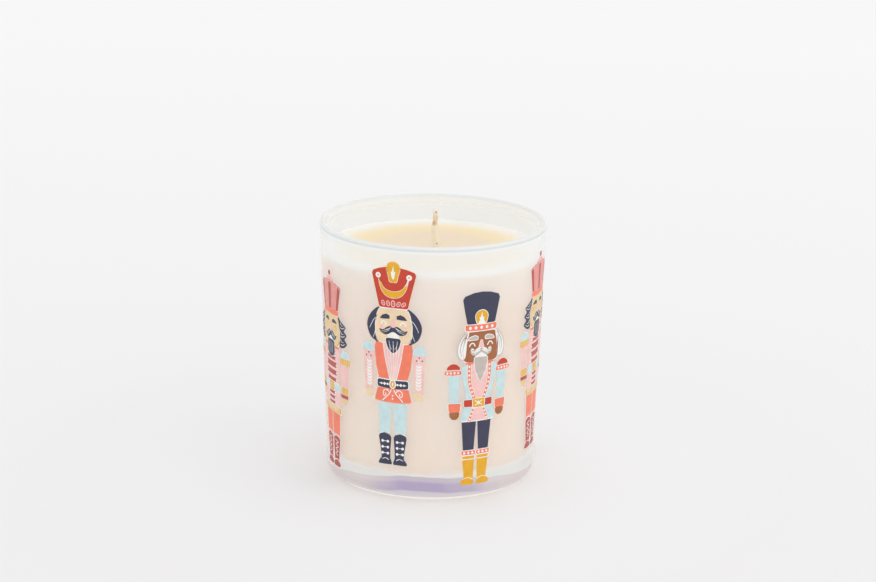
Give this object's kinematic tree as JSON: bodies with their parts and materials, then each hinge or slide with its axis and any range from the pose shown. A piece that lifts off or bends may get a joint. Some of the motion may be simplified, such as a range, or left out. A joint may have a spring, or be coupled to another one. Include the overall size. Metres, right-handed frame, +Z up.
{
  "type": "candle in printed glass tumbler",
  "caption": "Candle poured in a straight, slightly tapered glass tumbler, with a central wick and toy soldiers printed round the outside.",
  "frame": {"origin": "centre of the circle that the glass stands on", "axes": "+Z up along the glass axis from the base to the rim; -Y faces the viewer, between the soldier in the red hat and the one in the navy hat"},
  "size_m": [0.0799, 0.08, 0.0956],
  "materials": {
    "coral_ink": "fired print ink, satin",
    "gold_ink": "fired print ink, satin",
    "mint_ink": "fired print ink, satin",
    "navy_ink": "fired print ink, satin",
    "pink_ink": "fired print ink, satin",
    "rose_ink": "fired print ink, satin",
    "salmon_ink": "fired print ink, satin",
    "tan_ink": "fired print ink, satin",
    "white_ink": "fired print ink, satin",
    "pearl_glass": "clear with a faint pearl lustre",
    "brown_ink": "fired print ink, satin",
    "grey_ink": "fired print ink, satin",
    "red_ink": "fired print ink, satin",
    "skin_ink": "fired print ink, satin",
    "cream_wax": "smooth poured wax, satin, lets light in",
    "waxed_cotton": "braided cotton soaked in wax",
    "foam_tape": "white foam adhesive",
    "tinned_steel": "plain stamped tinplate"
  },
  "bodies": {
    "root": {"crown_soldier_coral_ink": "coral_ink", "crown_soldier_gold_ink": "gold_ink", "crown_soldier_mint_ink": "mint_ink", "crown_soldier_navy_ink": "navy_ink", "crown_soldier_pink_ink": "pink_ink", "crown_soldier_rose_ink": "rose_ink", "crown_soldier_salmon_ink": "salmon_ink", "crown_soldier_tan_ink": "tan_ink", "crown_soldier_white_ink": "white_ink", "glass_tumbler": "pearl_glass", "navy_hat_soldier_brown_ink": "brown_ink", "navy_hat_soldier_coral_ink": "coral_ink", "navy_hat_soldier_gold_ink": "gold_ink", "navy_hat_soldier_grey_ink": "grey_ink", "navy_hat_soldier_mint_ink": "mint_ink", "navy_hat_soldier_navy_ink": "navy_ink", "navy_hat_soldier_pink_ink": "pink_ink", "navy_hat_soldier_red_ink": "red_ink", "navy_hat_soldier_white_ink": "white_ink", "red_hat_soldier_coral_ink": "coral_ink", "red_hat_soldier_gold_ink": "gold_ink", "red_hat_soldier_mint_ink": "mint_ink", "red_hat_soldier_navy_ink": "navy_ink", "red_hat_soldier_pink_ink": "pink_ink", "red_hat_soldier_red_ink": "red_ink", "red_hat_soldier_skin_ink": "skin_ink", "red_hat_soldier_white_ink": "white_ink", "wax_fill": "cream_wax", "wick": "waxed_cotton", "wick_sticker": "foam_tape", "wick_tab": "tinned_steel"}
  },
  "joints": []
}
